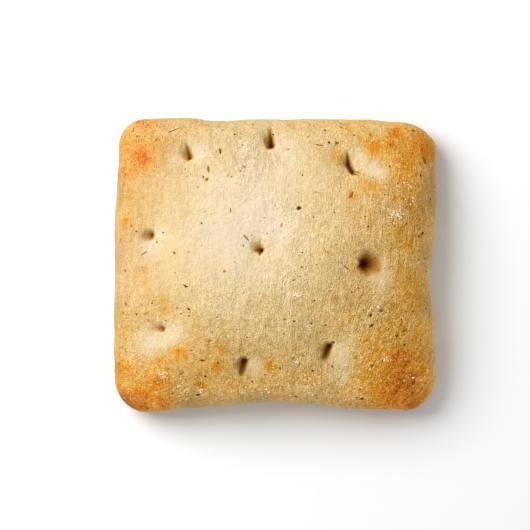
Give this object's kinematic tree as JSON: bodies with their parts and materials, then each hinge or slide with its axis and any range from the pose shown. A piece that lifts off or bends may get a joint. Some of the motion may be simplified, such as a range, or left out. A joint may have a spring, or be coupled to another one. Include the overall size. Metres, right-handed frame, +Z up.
{
  "type": "focaccia",
  "caption": "Small square focaccia with rounded corners, a crowned top with pressed dimples and dried herbs, and a flat base to rest on.",
  "frame": {"origin": "middle of the flat base, at the lowest point of the box round the loaf", "axes": "+Z up; +X along the longer side of the loaf; -Y is the lower side in a view from above"},
  "size_m": [0.1131, 0.103, 0.0272],
  "materials": {
    "crust": "matt baked crust, pale in the middle and golden brown at the corners"
  },
  "bodies": {
    "root": {"focaccia": "crust"}
  },
  "joints": []
}
